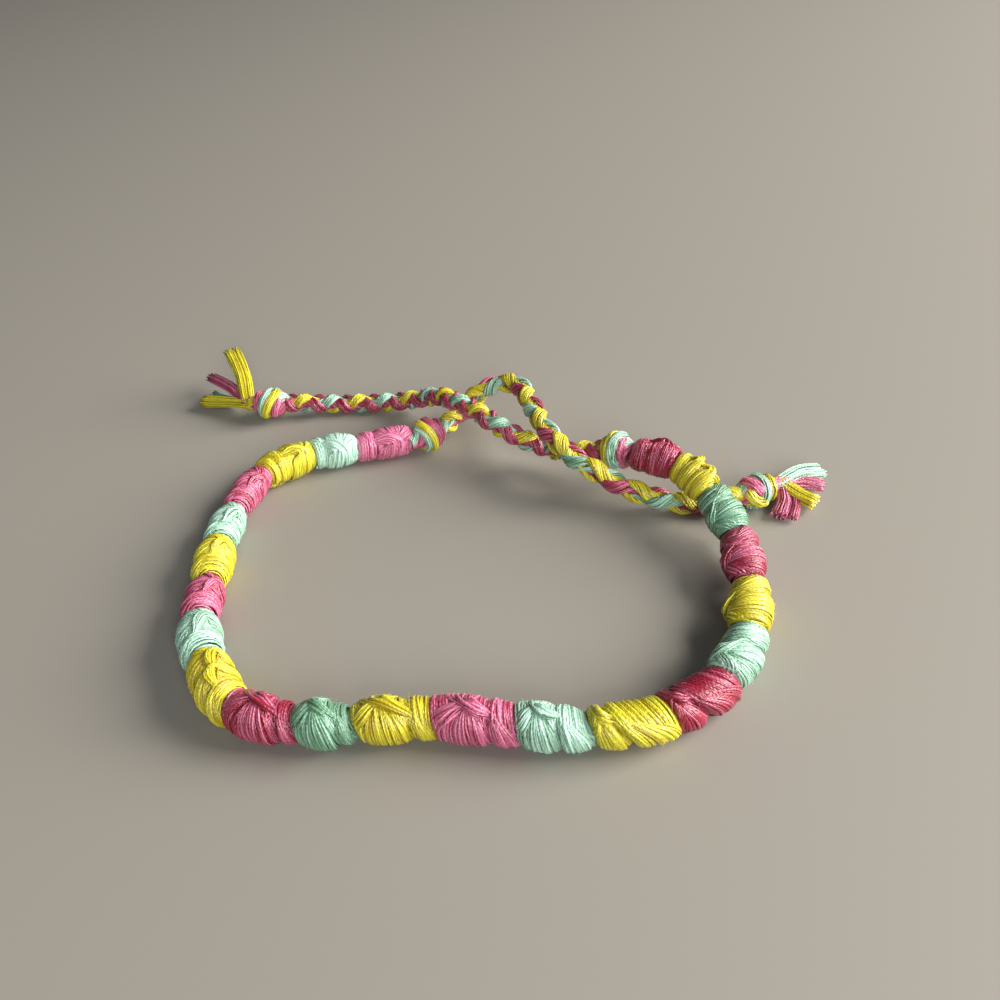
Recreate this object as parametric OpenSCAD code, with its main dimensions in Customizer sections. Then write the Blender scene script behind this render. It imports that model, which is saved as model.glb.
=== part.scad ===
// Friendship bracelet: a round band of spiral half-hitch knots, closed by two braided ties.
// The bracelet lies on the plane z = 0, with the middle of its wrist opening at the origin.

/* [Woven band] */
// Thickness of the band in the middle of an average section
band_d = 5.4; // [5:0.1:5.6]
// Thickness between two sections, as a share of the thickness in the middle
waist = 0.82; // [0.8:0.01:0.95]
// Height of the lump where a half hitch crosses over itself
hitch_h = 0.45; // [0.1:0.05:0.5]
// Reach of that lump along the band
hitch_l = 1.3; // [0.8:0.1:2]
// Reach of that lump round the band, in degrees
hitch_turn = 42; // [25:1:50]
// Gap between two sections
section_gap = 0.14; // [0.05:0.05:0.3]
// How far the outer lower side of each section is ahead of its middle
slant = 0.45; // [0:0.05:0.6]

/* [Braided ties] */
// Outer diameter of a braid of four strands
braid_d = 2.86; // [2.6:0.02:2.9]
// Width of one flattened strand where it lies on the outside of its braid
lobe_w = 1.2; // [0.9:0.02:1.28]
// Width of that strand where it passes through the middle
core_w = 0.62; // [0.6:0.02:0.7]
// Thickness of one flattened strand
strand_t = 0.52; // [0.4:0.02:0.58]
// Gap between two strands that run back to back through the middle of the braid
strand_gap = 0.06; // [0.04:0.02:0.12]
// Length of one turn of a strand round tie a
pitch_a = 11.6; // [10:0.1:14]
// Length of one turn of a strand round tie b, which is braided tighter
pitch_b = 8; // [7:0.1:12]

/* [Knots] */
// Depth of the grooves between the wraps of a knot
groove_depth = 0.35; // [0.1:0.05:0.5]
// Number of wraps that show round a knot
wraps = 3; // [2:1:4]
// Turn of the wraps from one end of a knot to the other, in degrees
wrap_turn = 150; // [60:10:200]
// Gap between a knot and what it holds
knot_gap = 0.12; // [0.05:0.01:0.3]

/* [Tassels] */
// Diameter of the throat where the cut ends leave a knot
throat_d = 2.6; // [2.2:0.1:2.8]
// Length of that throat
throat_l = 1.2; // [0.8:0.1:1.6]
// Thickness of a lock of cut ends
lock_t = 1.1; // [0.8:0.1:1.3]

/* [Hidden] */

pink = "#e2557d";
mint = "#96d7b4";
yellow = "#ebd723";

slant_angle = -50;
section_sides = 12;
section_rings = 8;
strand_sides = 6;
knot_sides = 16;
knot_rings = 9;
lock_sides = 8;
lock_rings = 5;

// The sections in order along the band: colour, place where the section starts (x, y),
// height of its underside there, thickness where it starts and ends as a share of band_d, and
// the crossings of its half hitches: how far along it each is, and its angle round the band
// (0 faces out of the loop, 90 up, 180 inwards).
SECTIONS = [
    //name, colour, x, y, lift, size_from, size_to, crossings
    ["pink_section_01", pink, -8, 27, 0, 0.84, 0.8, [[0.28, 140], [0.74, 130]]],
    ["mint_section_02", mint, -15.3, 25.9, 0, 0.9, 0.9, [[0.38, 135], [0.8, 110]]],
    ["yellow_section_03", yellow, -21.3, 25, 0, 0.9, 0.92, [[0.2, 120], [0.66, 110]]],
    ["pink_section_04", pink, -27.4, 21.4, 0, 0.78, 0.8, [[0.3, 130], [0.68, 115]]],
    ["mint_section_05", mint, -30.1, 14.3, 0, 0.8, 0.86, [[0.35, 125], [0.72, 105]]],
    ["yellow_section_06", yellow, -30.9, 7.4, 0, 0.92, 0.92, [[0.3, 120], [0.64, 100]]],
    ["pink_section_07", pink, -30.9, 0.7, 0, 0.84, 0.87, [[0.32, 130], [0.64, 105]]],
    ["mint_section_08", mint, -30.9, -5.5, 0, 0.94, 0.96, [[0.4, 110], [0.72, 85]]],
    ["yellow_section_09", yellow, -29, -12, 0, 0.95, 0.97, [[0.22, 110], [0.5, 95], [0.78, 80]]],
    ["pink_section_10", pink, -24.9, -18.7, 0, 0.94, 0.9, [[0.5, 100], [0.8, 75]]],
    ["mint_section_11", mint, -18.3, -21.4, 0, 1, 0.94, [[0.42, 95], [0.78, 65]]],
    ["yellow_section_12", yellow, -12.6, -22, 0, 0.98, 0.84, [[0.4, 95], [0.76, 60]]],
    ["pink_section_13", pink, -4.8, -22.3, 0.2, 0.94, 0.9, [[0.46, 85], [0.7, 70]]],
    ["mint_section_14", mint, 3.3, -24, 0, 0.95, 0.86, [[0.32, 90], [0.62, 80], [0.84, 65]]],
    ["yellow_section_15", yellow, 10.3, -25.3, 0.1, 0.9, 0.9, [[0.26, 85], [0.76, -10]]],
    ["pink_section_16", pink, 17.7, -24.4, 0, 0.93, 0.93, [[0.2, 80], [0.52, 60], [0.8, 40]]],
    ["mint_section_17", mint, 24, -20.6, 0, 0.94, 0.9, [[0.3, 120], [0.62, 95]]],
    ["yellow_section_18", yellow, 27.9, -14.5, 0, 0.94, 0.88, [[0.34, 170], [0.66, 140]]],
    ["pink_section_19", pink, 29.7, -7.3, 0.2, 0.92, 0.86, [[0.3, 160], [0.62, 125]]],
    ["mint_section_20", mint, 29.8, -0.3, 1.4, 0.9, 0.84, [[0.3, 160], [0.66, 125]]],
    ["yellow_section_21", yellow, 28, 5.4, 3.1, 0.82, 0.82, [[0.2, 85], [0.56, 90], [0.85, 80]]],
    ["pink_section_22", pink, 25.2, 10.5, 3.7, 0.82, 0.84, [[0.3, 90], [0.74, 90]]]
];
BAND_END = [20.5, 14.2, 3.5];

// The knots: middle, heading and pitch of the line through the knot, length, width and height.
KNOTS = [
    //name, colour, middle, heading, pitch, length, width, height
    ["end_knot_left", yellow, [-5.6, 27.3, 2.6], 38, 0, 4.4, 4.9, 4.8],
    ["end_knot_right", mint, [18.9, 15.65, 5.3], 145, -16, 3.7, 5, 5.2],
    ["tip_knot_left", pink, [-28.5, 39.4, 2.7], 172, 0, 5.4, 5.6, 5.3],
    ["tip_knot_right", mint, [34.7, 8.9, 2.4], 16, 0, 5, 4.8, 4.7]
];

// The middle of each braid, from its end knot to its tip knot. Tie a leaves the left end knot,
// passes under tie b, arches over it and runs under the band. Tie b leaves the right end knot.
TIE_A = concat([knot_end(KNOTS[0], 1)], [
    [-2.2, 30.4, 2.4], [-0.8, 32.4, 2.6], [0.9, 33.6, 3.7], [3.3, 33.8, 5.2], [5.8, 32.9, 6.2],
    [7.6, 30.6, 6.8], [8.5, 26.8, 7], [9.3, 23, 7], [10.2, 19.4, 6.9], [11.6, 16.2, 6.6],
    [13.6, 13.6, 5.8], [15.9, 12, 4.8], [18.3, 10.8, 3.6], [21, 10, 2.5], [23.5, 9.4, 1.8],
    [26, 8.6, 1.5], [28.5, 7.9, 1.6], [30.5, 7.7, 2.1]
], [knot_end(KNOTS[3], -1)]);
TIE_B = concat([knot_end(KNOTS[1], 1)], [
    [15.8, 17.7, 4.3], [14, 18.5, 3.6], [12, 19.4, 3.4], [10, 20.5, 3.5], [8, 21, 4.2],
    [5.6, 21.7, 5.4], [3.5, 23.1, 6.3], [1.7, 25.4, 6.5], [-0.2, 28, 6.2], [-2.2, 31, 5.6],
    [-4, 33.8, 4.5], [-6.6, 36, 3], [-9.6, 37.6, 1.9], [-17, 38.8, 1.5], [-22.6, 38.8, 2.2]
], [knot_end(KNOTS[2], -1)]);

// The strands of the braids: one pair winds each way round its braid and lies over the other
// pair on two sides of it. The roll turns those sides. A whole number of rings makes one turn.
STRANDS = [
    //name, colour, route, pitch, rings in a turn, way, phase, roll
    ["tie_a_yellow_1", yellow, TIE_A, pitch_a, 12, -1, -30, 0],
    ["tie_a_yellow_2", yellow, TIE_A, pitch_a, 12, -1, 150, 0],
    ["tie_a_mint", mint, TIE_A, pitch_a, 12, 1, 30, 0],
    ["tie_a_pink", pink, TIE_A, pitch_a, 12, 1, 210, 0],
    ["tie_b_yellow", yellow, TIE_B, pitch_b, 8, 1, -135, 95],
    ["tie_b_mint", mint, TIE_B, pitch_b, 8, 1, 45, 95],
    ["tie_b_pink_1", pink, TIE_B, pitch_b, 8, -1, 135, 95],
    ["tie_b_pink_2", pink, TIE_B, pitch_b, 8, -1, -45, 95]
];

// The locks of cut ends: middle and tip of each, and its width at the throat and the tip.
LOCKS_LEFT = [
    //middle, tip, root_w, tip_w
    [[-33.2, 45, 4.4], [-35.4, 50.4, 6], 1.3, 2.3],
    [[-35.2, 44.2, 2.9], [-39, 48.4, 2.6], 1.1, 1.7],
    [[-35.6, 41.8, 1.9], [-40, 43.8, 1.2], 1.2, 2.1],
    [[-35, 43, 1.2], [-38.8, 46, 0.8], 0.9, 1.3]
];
LOCKS_RIGHT = [
    //middle, tip, root_w, tip_w
    [[41, 12, 2], [44.2, 13, 1.3], 1.3, 2.5],
    [[41, 10.5, 1.7], [43.6, 10.2, 1], 1.1, 1.8],
    [[39.8, 8.4, 1.6], [41.8, 6.7, 1.2], 1.2, 2.2],
    [[38.4, 7.6, 1.2], [37.2, 5.2, 0.7], 1.3, 3]
];

function unit(v) = v / norm(v);
function mean(p) = [for (i = [0 : len(p) - 1]) 1] * p / len(p);
function turned(a) = a - 360 * round(a / 360);

// Two directions across a line that heads along t: to its right, seen from above, and up.
function out_of(t) = unit(cross(t, [0, 0, 1]));
function up_of(t) = cross(out_of(t), t);
function laid(p) = [p.x, p.y, max(p.z, 0)];

// Point on a smooth line through the points p, where u counts the points passed.
function past(p, i) =
    i < 0 ? 2 * p[0] - p[1] :
    i >= len(p) ? 2 * p[len(p) - 1] - p[len(p) - 2] : p[i];
function along(p, u) =
    let (i = max(0, min(floor(u), len(p) - 2)), t = u - i,
        a = past(p, i - 1), b = p[i], c = p[i + 1], d = past(p, i + 2))
    0.5 * (2 * b + (c - a) * t + (2 * a - 5 * b + 4 * c - d) * t * t
        + (3 * b - a - 3 * c + d) * t * t * t);
function heading(p, u) = unit(along(p, u + 0.02) - along(p, u - 0.02));

// Closed skin over rings of points, with a fan over each end. The lean turns the diagonals
// of its sides the way that a twisted strand winds.
module skin(rings, lean = 1) {
    n = len(rings[0]);
    last = len(rings) - 1;
    points = concat([for (ring = rings) each ring], [mean(rings[0]), mean(rings[last])]);
    sides = [for (j = [0 : last - 1], i = [0 : n - 1], half = [0, 1])
        let (a = j * n + i, b = j * n + (i + 1) % n)
        lean > 0 ? (half == 0 ? [a, b, b + n] : [a, b + n, a + n])
            : (half == 0 ? [a, b, a + n] : [b, b + n, a + n])];
    first_end = [for (i = [0 : n - 1]) [len(points) - 2, (i + 1) % n, i]];
    last_end = [for (i = [0 : n - 1]) [len(points) - 1, last * n + i, last * n + (i + 1) % n]];
    polyhedron(points, concat(sides, first_end, last_end), convexity = 6);
}

// Middle line of the band. Its height follows the thickness, so that the underside lies flat.
function size_at(k) =
    k == 0 ? SECTIONS[0][5] : k == len(SECTIONS) ? SECTIONS[k - 1][6]
        : (SECTIONS[k - 1][6] + SECTIONS[k][5]) / 2;
function start_of(k) =
    let (place = k < len(SECTIONS) ? [for (c = [2 : 4]) SECTIONS[k][c]] : BAND_END)
    place + [0, 0, band_d / 2 * size_at(k)];
BAND = [for (k = [0 : len(SECTIONS)]) start_of(k)];

function bell(x) = exp(-x * x);
function section_r(row, length, t, angle) =
    let (size = row[5] + (row[6] - row[5]) * max(0, min(1, (t - 0.1) / 0.8)),
        belly = waist + (1 - waist) * pow(sin(180 * t), 0.6),
        lumps = [for (c = row[7])
            bell((t - c[0]) * length / hitch_l) * bell(turned(angle - c[1]) / hitch_turn)])
    band_d / 2 * size * belly + hitch_h * sin(180 * t) * max(lumps);

module woven_section(k) {
    row = SECTIONS[k];
    length = norm(BAND[k + 1] - BAND[k]);
    inset = section_gap / 2 / length;
    color(row[1]) skin([for (j = [0 : section_rings - 1])
        let (t = inset + (1 - 2 * inset) * j / (section_rings - 1), h = heading(BAND, k + t))
        [for (i = [0 : section_sides - 1])
            let (angle = 360 * i / section_sides,
                radial = cos(angle) * out_of(h) + sin(angle) * up_of(h))
            laid(along(BAND, k + t) + slant * cos(angle - slant_angle) * h
                + section_r(row, length, t, angle) * radial)]]);
}

// A strand's distance from the middle of its braid, and how far it weaves in and out of that.
helix_r = (braid_d + strand_gap) / 4;
weave = helix_r - (strand_t + strand_gap) / 2;

function sums(v) =
    [for (i = 0, total = 0; i <= len(v); total = total + (i < len(v) ? v[i] : 0), i = i + 1) total];

module strand(row) {
    route = row[2];
    count = (len(route) - 1) * 8;
    points = [for (i = [0 : count]) along(route, i / 8)];
    reach = sums([for (i = [1 : count]) norm(points[i] - points[i - 1])]);
    passed = [for (i = [0 : count]) [reach[i], i / 8]];
    turn_rings = row[4];
    rings = round(turn_rings * reach[count] / row[3]);
    color(row[1]) skin([for (j = [0 : rings])
        let (u = lookup(reach[count] * j / rings, passed),
            h = heading(route, u), turn = row[5] * 360 * j / turn_rings + row[6],
            outward = row[5] * cos(2 * turn), r = helix_r + weave * outward,
            w = core_w + (lobe_w - core_w) * (1 + outward) / 2,
            radial = cos(turn + row[7]) * out_of(h) + sin(turn + row[7]) * up_of(h))
        [for (i = [0 : strand_sides - 1])
            let (angle = 360 * i / strand_sides)
            along(route, u) + (r + strand_t / 2 * sin(angle)) * radial
                + w / 2 * cos(angle) * cross(h, radial)]], row[5]);
}

// A tight knot: a rounded body with the grooves between its wraps winding round it.
function knot_way(row) = [cos(row[3]) * cos(row[4]), sin(row[3]) * cos(row[4]), sin(row[4])];
function knot_end(row, side) = row[2] + side * (row[5] / 2 + knot_gap) * knot_way(row);

module knot(row) {
    h = knot_way(row);
    color(row[1]) skin([for (j = [1 : knot_rings])
        let (polar = 180 * j / (knot_rings + 1), bulge = pow(sin(polar), 0.7))
        [for (i = [0 : knot_sides - 1])
            let (angle = 360 * i / knot_sides,
                depth = groove_depth * bulge * (1 - cos(wraps * (angle + wrap_turn * polar / 180))) / 2)
            laid(row[2] - row[5] / 2 * cos(polar) * h
                + (row[6] / 2 * bulge - depth) * cos(angle) * out_of(h)
                + (row[7] / 2 * bulge - depth) * sin(angle) * up_of(h))]]);
}

// Cut ends of the floss, in locks that spread from a throat at a tip knot.
module lock(root, row) {
    line = [root, row[0], row[1]];
    skin([for (j = [0 : lock_rings - 1])
        let (u = 2 * j / (lock_rings - 1), h = heading(line, u),
            w = row[2] + (row[3] - row[2]) * u / 2)
        [for (i = [0 : lock_sides - 1])
            let (angle = 360 * i / lock_sides)
            laid(along(line, u) + w / 2 * cos(angle) * out_of(h)
                + lock_t / 2 * sin(angle) * up_of(h))]]);
}

module tassel(knot_row, locks) {
    h = knot_way(knot_row);
    start = knot_end(knot_row, 1);
    color(yellow) union() {
        skin([for (j = [0 : 2])
            [for (i = [0 : 11])
                let (r = throat_d / 2 * [0.85, 1, 0.8][j])
                laid(start + throat_l * j / 2 * h
                    + r * (cos(30 * i) * out_of(h) + sin(30 * i) * up_of(h)))]]);
        for (row = locks) lock(start + throat_l * 0.4 * h, row);
    }
}

for (k = [0 : len(SECTIONS) - 1])
    woven_section(k);
for (row = KNOTS)
    knot(row);
for (row = STRANDS)
    strand(row);
tassel(KNOTS[2], LOCKS_LEFT);  // tassel_left
tassel(KNOTS[3], LOCKS_RIGHT);  // tassel_right
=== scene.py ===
"""Looks of a friendship bracelet: its band, braided ties, knots and tassels, as plies of floss."""

import math

import bpy
import numpy as np
from mathutils import Matrix, Vector


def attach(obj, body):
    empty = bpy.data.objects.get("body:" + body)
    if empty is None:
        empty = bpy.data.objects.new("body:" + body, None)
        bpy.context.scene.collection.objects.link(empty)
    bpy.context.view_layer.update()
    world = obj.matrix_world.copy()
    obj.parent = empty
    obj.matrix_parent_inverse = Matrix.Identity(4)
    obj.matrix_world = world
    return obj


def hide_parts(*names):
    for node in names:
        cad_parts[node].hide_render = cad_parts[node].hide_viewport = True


MM = 0.001  # the tables and sizes below are in millimetres

# Smooth lines: how far apart two points are that give its direction, and how many steps measure
# its length between two points.
HEADING_STEP = 0.02
ROUTE_FINE = 40

# Plies: the finest threads that show. Pressed together, they are wider than thick.
PLY_R = 0.15
PLY_FLAT = 0.62
PLY_SIDES = 4
PLY_TWIST = 0.9  # length of one turn of its twist
SINK = 0.9  # how far a thread dives to hide its end
WANDERS = {
    # how far a thread wanders off its line: waves along it, and size
    "hitch_along": (9, 0.18),
    "hitch_out": (12, 0.055),
    "hitch_round": (6, 4),  # degrees
    "coil_along": (3, 0.1),
    "coil_out": (5, 0.03),
    "strand_round": (12, 0.4),  # radians
    "strand_out": (20, 0.04),
    "core_round": (3, 6),  # degrees
    "core_out": (4, 0.02),  # share of the knot's width
    "knot_across": (3, 0.08),
    "knot_out": (5, 0.04),
    "lock_across": (2, 0.07),
    "lock_out": (2, 0.05),
}

# The knotted band. Angles across it: 0 faces out of the loop, 90 up, 180 inwards.
BAND_D = 5.4
EVEN_END = 0.1  # share of a section at each end where its thickness doesn't change
BELLY = 0.6  # how soon it fills out from its ends: the power of a sine
WAIST = 0.8
WAISTS = {
    # how full a section is at its two ends, where it isn't WAIST
    "pink_section_01": (0.86, 0.86),
    "mint_section_02": (0.7, 0.74),
    "yellow_section_03": (0.7, 0.74),
    "pink_section_04": (0.76, 0.68),
    "mint_section_05": (0.62, 0.78),
    "yellow_section_06": (0.74, 0.7),
    "pink_section_07": (0.64, 0.78),
    "mint_section_08": (0.68, 0.8),
    "yellow_section_09": (0.76, 0.8),
    "pink_section_10": (0.84, 0.72),
    "mint_section_11": (0.66, 0.6),
    "yellow_section_12": (0.56, 0.98),
    "pink_section_13": (0.9, 0.86),
    "mint_section_14": (0.9, 0.66),
    "yellow_section_15": (0.8, 0.96),
    "pink_section_16": (0.96, 0.74),
    "yellow_section_18": (0.8, 0.72),
    "pink_section_19": (0.7, 0.74),
    "yellow_section_21": (0.7, 0.86),
    "pink_section_22": (0.86, 0.8),
}
HITCH_H = 0.27  # of the lump at each crossing, and its reach along and round the band
HITCH_L = 1.3
HITCH_TURN = 42
SLANT = 0.45
SLANTS = {
    # how far the wraps in the middle of a section lean, where it isn't SLANT
    "yellow_section_15": 1.5,
    "pink_section_16": 1.6,
    "mint_section_17": 1.2,
    "yellow_section_18": 0.9,
}
SLANT_ANGLE = -50
BUNDLE = 40  # plies of the thread that ties the hitches
BUNDLE_JITTER = 0.06  # share of half its width
BUNDLE_PLIES = (0.65, 1.25)  # thinnest and thickest, as shares of PLY_R
BUNDLE_DROP = 0.15  # how much deeper its outer plies lie
LAYERS = 4  # of plies where the thread heaps up
LAYER_FLAT = 0.2  # from layer to layer, as a share of PLY_R, and what a heap adds
LAYER_HEAP = 1.2
STEPS_A_STOP = 3
CLEAR = 0.06  # from the middle of a ply to the end of its section
SHOULDER = 0.22  # how far the plies at the end of a section dive, and over what length
SHOULDER_L = 0.6
# A fan of plies begins before its crossing and ends past the next, by these shares of the way.
FAN_BACK = 0.15
FAN_AHEAD = 0.05
GROOVE = 0.36  # between the fans of plies of two hitches
GROOVES = {"yellow_section_15": 0.7, "pink_section_16": 0.7, "mint_section_17": 0.5}
GROOVE_L = 0.42
GROOVE_BACK = 0.45  # share of it on the ridge and the inner side
GROOVE_FULL = 40  # degrees below the crossing where it is full, and where it has faded out
GROOVE_END = 200
GROOVE_FADE = 60

# Plies wound under the hitches, which show where the last hitch leaves them bare.
COIL_STEP = 0.2
COIL_STEPS = 18
COIL_DEPTH = 0.36
COIL_VARIES = 0.05  # in depth from ply to ply
COIL_PLIES = (0.85, 1.3)  # thinnest and thickest, as shares of PLY_R
COIL_START = 230  # where round the section each begins, and how far it goes
COIL_TURN = 380
COIL_JITTER = 15
COIL_END = 25  # degrees over which its ends dive, and how deep
COIL_DIVE = 0.4
COIL_RAISE = 0.24  # where they are bare
BARE_ANGLE = 60  # middle of the bare side, from the last crossing, how sharp its edge is
BARE_EDGE = 1.4
BARE_LEVEL = 0.6
BARE_BEFORE = 0.5  # and how far before that crossing it begins
RIDGE_ANGLE = 20  # middle of the ridge of crossings, and the share of COIL_RAISE there
COIL_RIDGE = 0.7

# The skin takes tone 0, at the dark end of the plies' own range: painted shade that shows through
# the gaps between plies.
SKIN_DEPTH = 0.5  # of the closed skin under the plies of a section
SKIN_RINGS = 10
SKIN_SIDES = 12
PAINTED_LIGHT_AND_SHADE = {
    # painted light and shade: how much paler the plies of a section or strand are, paler where it
    # is lit and darker (below 0) where it lies in shade
    "pink_section_01": 0.55,
    "mint_section_02": 0.8,
    "pink_section_07": -0.15,
    "yellow_section_09": -0.25,
    "pink_section_10": -0.4,
    "mint_section_11": -0.6,
    "yellow_section_12": -0.25,
    "pink_section_16": -0.7,
    "pink_section_19": -0.4,
    "mint_section_20": -0.6,
    "yellow_section_21": -0.15,
    "pink_section_22": -0.5,
    "tie_a_mint": -0.2,
    "tie_a_pink": -0.35,
    "tie_b_mint": -0.2,
    "tie_b_pink_1": -0.5,
    "tie_b_pink_2": -0.5,
}
HAIRS = 16  # stray fibres on a section
HAIR_R = 0.022
HAIR_H = 0.35
HAIR_SIDES = 3
HAIR_STEPS = 7
HAIR_PLACES = (0.1, 0.9)  # the part of the section, and the sides of the band, that have them
HAIR_ANGLES = (-70, 190)
HAIR_RUN = 0.8  # along the section at most, and round it
HAIR_TURN = 40
HAIR_REACH = (0.02, 0.98)  # where it has to stay
HAIR_HEIGHTS = (0.2, 1)  # shares of HAIR_H
HAIR_ROOT = 0.1  # how deep each begins
HAIR_ARCH = 0.8  # share of a half wave that it follows
HAIR_TONES = (0.6, 1)
SECTIONS = (
    # name, colour, x, y, lift, size_from, size_to, crossings as (share along, angle)
    ("pink_section_01", "pink", -8, 27, 0, 0.84, 0.8, ((0.28, 140), (0.74, 130))),
    ("mint_section_02", "mint", -15.3, 25.9, 0, 0.9, 0.9, ((0.38, 135), (0.8, 110))),
    ("yellow_section_03", "yellow", -21.3, 25, 0, 0.9, 0.92, ((0.2, 120), (0.66, 110))),
    ("pink_section_04", "pink", -27.4, 21.4, 0, 0.78, 0.8, ((0.3, 130), (0.68, 115))),
    ("mint_section_05", "mint", -30.1, 14.3, 0, 0.8, 0.86, ((0.35, 125), (0.72, 105))),
    ("yellow_section_06", "yellow", -30.9, 7.4, 0, 0.92, 0.92, ((0.3, 120), (0.64, 100))),
    ("pink_section_07", "pink", -30.9, 0.7, 0, 0.84, 0.87, ((0.32, 130), (0.64, 105))),
    ("mint_section_08", "mint", -30.9, -5.5, 0, 0.94, 0.96, ((0.4, 110), (0.72, 85))),
    ("yellow_section_09", "yellow", -29, -12, 0, 0.95, 0.97, ((0.22, 110), (0.5, 95), (0.78, 80))),
    ("pink_section_10", "pink", -24.9, -18.7, 0, 0.94, 0.9, ((0.5, 100), (0.8, 75))),
    ("mint_section_11", "mint", -18.3, -21.4, 0, 1, 0.94, ((0.42, 95), (0.78, 65))),
    ("yellow_section_12", "yellow", -12.6, -22, 0, 0.98, 0.84, ((0.4, 95), (0.76, 60))),
    ("pink_section_13", "pink", -4.8, -22.3, 0.2, 0.94, 0.9, ((0.46, 85), (0.7, 70))),
    ("mint_section_14", "mint", 3.3, -24, 0, 0.95, 0.86, ((0.28, 90), (0.58, 80))),
    ("yellow_section_15", "yellow", 10.3, -25.3, 0.1, 0.9, 0.9, ((0.14, 85), (0.34, 70))),
    ("pink_section_16", "pink", 17.7, -24.4, 0, 0.93, 0.93, ((0.14, 85), (0.34, 75))),
    ("mint_section_17", "mint", 24, -20.6, 0, 0.94, 0.9, ((0.3, 120), (0.62, 95))),
    ("yellow_section_18", "yellow", 27.9, -14.5, 0, 0.94, 0.88, ((0.34, 170), (0.66, 140))),
    ("pink_section_19", "pink", 29.7, -7.3, 0.2, 0.92, 0.86, ((0.3, 160), (0.62, 125))),
    ("mint_section_20", "mint", 29.8, -0.3, 1.4, 0.9, 0.84, ((0.3, 160), (0.66, 125))),
    ("yellow_section_21", "yellow", 28, 5.4, 3.1, 0.82, 0.82, ((0.2, 65), (0.5, 70), (0.78, 65))),
    ("pink_section_22", "pink", 25.2, 10.5, 3.7, 0.82, 0.84, ((0.3, 65), (0.7, 70))),
)
BAND_END = (20.5, 14.2, 3.5)
LEAD_IN = (
    # share of the way to the first crossing, angle from it, half spread round, height, heap
    (0.03, -50, 18, -SINK, 0.6),
    (0.2, -40, 26, 0, 0.6),
    (0.6, -16, 19, 0.2, 0.8),
)
WRAP = (
    # turn from the crossing, share of the fan's width, half spread round, height, heap
    (0, 0.1, 9, -0.15, 0.8),
    (28, 0.55, 4, 0, 0.2),
    (65, 0.92, 0, 0.04, 0),
    (125, 1, 0, 0, 0),
    (190, 1, 0, 0, 0),
    (250, 1, 0, 0, 0),
    (305, 1, 0, 0, 0),
    (336, 0.9, 2, 0.03, 0.1),
    (354, 0.45, 12, 0.24, 0.7),
)
BAR = (0.4, 368, 24, 0.4, 0.8)  # share of the way to the next crossing, turn, spread, height, heap
DIVE_TURN = 320  # the plies that aren't in the bar dive under it after this
BAR_SHARE = 0.6  # of the plies, and over what share more the bar ends
BAR_EDGE = 0.15
LAST_TURN = 200  # the last hitch dives after it

# The knots: middle, heading and pitch of the line through the knot, length, width and height.
KNOTS = {
    "end_knot_left": ((-5.6, 27.3, 2.6), 38, 0, 4.4, 4.9, 4.8),
    "end_knot_right": ((18.9, 15.65, 5.3), 145, -16, 3.7, 5, 5.2),
    "tip_knot_left": ((-28.5, 39.4, 2.45), 172, 0, 4.9, 5.1, 4.8),
    "tip_knot_right": ((34.7, 8.9, 2.3), 16, 0, 4.7, 4.6, 4.5),
}
KNOT_GAP = 0.12
KNOT_SQUARE = 0.7  # how soon a knot fills out from its ends: the power of a sine
# The strands under the bands that show, from inside what enters the knot to what leaves it.
KNOT_CORE = (
    # share of half the length, share of half the width
    (-1.4, 0.34),
    (-1.08, 0.38),
    (-0.9, 0.5),
    (-0.5, 0.72),
    (0, 0.78),
    (0.5, 0.72),
    (0.9, 0.5),
    (1.08, 0.38),
    (1.4, 0.34),
)
CORE_COLOURS = ("yellow", "pink", "mint", "pink")
CORE_PLIES = 14
CORE_TURN = 110
CORE_STEPS_A_STOP = 4

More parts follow.
